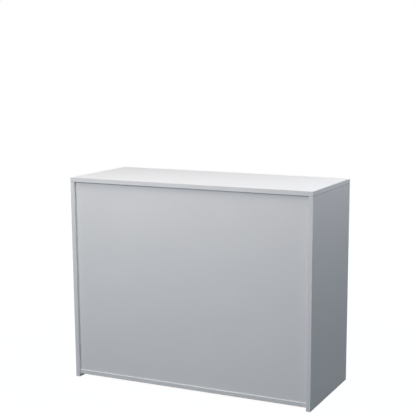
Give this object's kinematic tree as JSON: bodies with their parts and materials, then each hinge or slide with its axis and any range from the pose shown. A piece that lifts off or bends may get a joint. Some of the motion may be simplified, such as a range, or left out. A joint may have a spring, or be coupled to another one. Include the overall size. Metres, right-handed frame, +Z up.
{
  "type": "shop counter",
  "caption": "Plain white panel counter for a shop, with a recessed front board, a raised base and an open staff side where loose shelves lie on pins.",
  "frame": {"origin": "on the floor, under the middle of the counter", "axes": "+Z up, -Y towards the customer, +Y towards the staff, +X to the customer's right"},
  "size_m": [1.12, 0.456, 0.9],
  "materials": {
    "melamine_board": "satin white melamine on chipboard",
    "edge_tape": "satin white edge tape",
    "cast_zinc": "plain die-cast zinc",
    "plated_steel": "zinc-plated steel",
    "nickel_pin": "satin nickel-plated steel",
    "dowel_wood": "raw beech",
    "cap_plastic": "moulded white plastic",
    "glide_plastic": "moulded grey plastic",
    "foot_plastic": "moulded black plastic"
  },
  "bodies": {
    "counter": {"top_panel": "melamine_board", "left_side_panel": "melamine_board", "right_side_panel": "melamine_board", "front_panel": "melamine_board", "base_panel": "melamine_board", "centre_upright": "melamine_board", "top_edge_tape": "edge_tape", "left_side_edge_tape": "edge_tape", "right_side_edge_tape": "edge_tape", "base_edge_tape": "edge_tape", "upright_edge_tape": "edge_tape", "top_cam_locks": "cast_zinc", "front_cam_locks": "cast_zinc", "base_cam_locks": "cast_zinc", "top_cam_bolts": "plated_steel", "front_cam_bolts": "plated_steel", "base_cam_bolts": "plated_steel", "top_dowels": "dowel_wood", "front_dowels": "dowel_wood", "base_dowels": "dowel_wood", "base_screws": "plated_steel", "glide_nails": "plated_steel", "left_shelf_pins": "nickel_pin", "right_shelf_pins": "nickel_pin", "cam_cover_caps": "cap_plastic", "floor_glides": "glide_plastic", "foot_insert": "plated_steel"},
    "left_shelf": {"left_shelf": "melamine_board", "left_shelf_edge_tape": "edge_tape"},
    "right_shelf": {"right_shelf": "melamine_board", "right_shelf_edge_tape": "edge_tape"},
    "levelling_pad": {"foot_pad": "foot_plastic"},
    "levelling_stud": {"foot_stud": "plated_steel"}
  },
  "joints": [
    {"name": "left_shelf_pull", "type": "slide", "parent": "counter", "child": "left_shelf", "axis": [0, 1, 0], "range_m": [0, 0.44]},
    {"name": "right_shelf_pull", "type": "slide", "parent": "counter", "child": "right_shelf", "axis": [0, 1, 0], "range_m": [0, 0.44]},
    {"name": "foot_level", "type": "slide", "parent": "counter", "child": "levelling_pad", "axis": [0, 0, 1], "range_m": [-0.008, 0.004]},
    {"name": "foot_screw", "type": "hinge", "parent": "levelling_pad", "child": "levelling_stud", "pos_m": [0, 0, 0.01], "axis": [0, 0, 1], "range_deg": [-2310, 1160]}
  ],
  "couplings": [
    {"joint": "foot_screw", "follows": "foot_level", "rad_per_m": 5026.5}
  ]
}
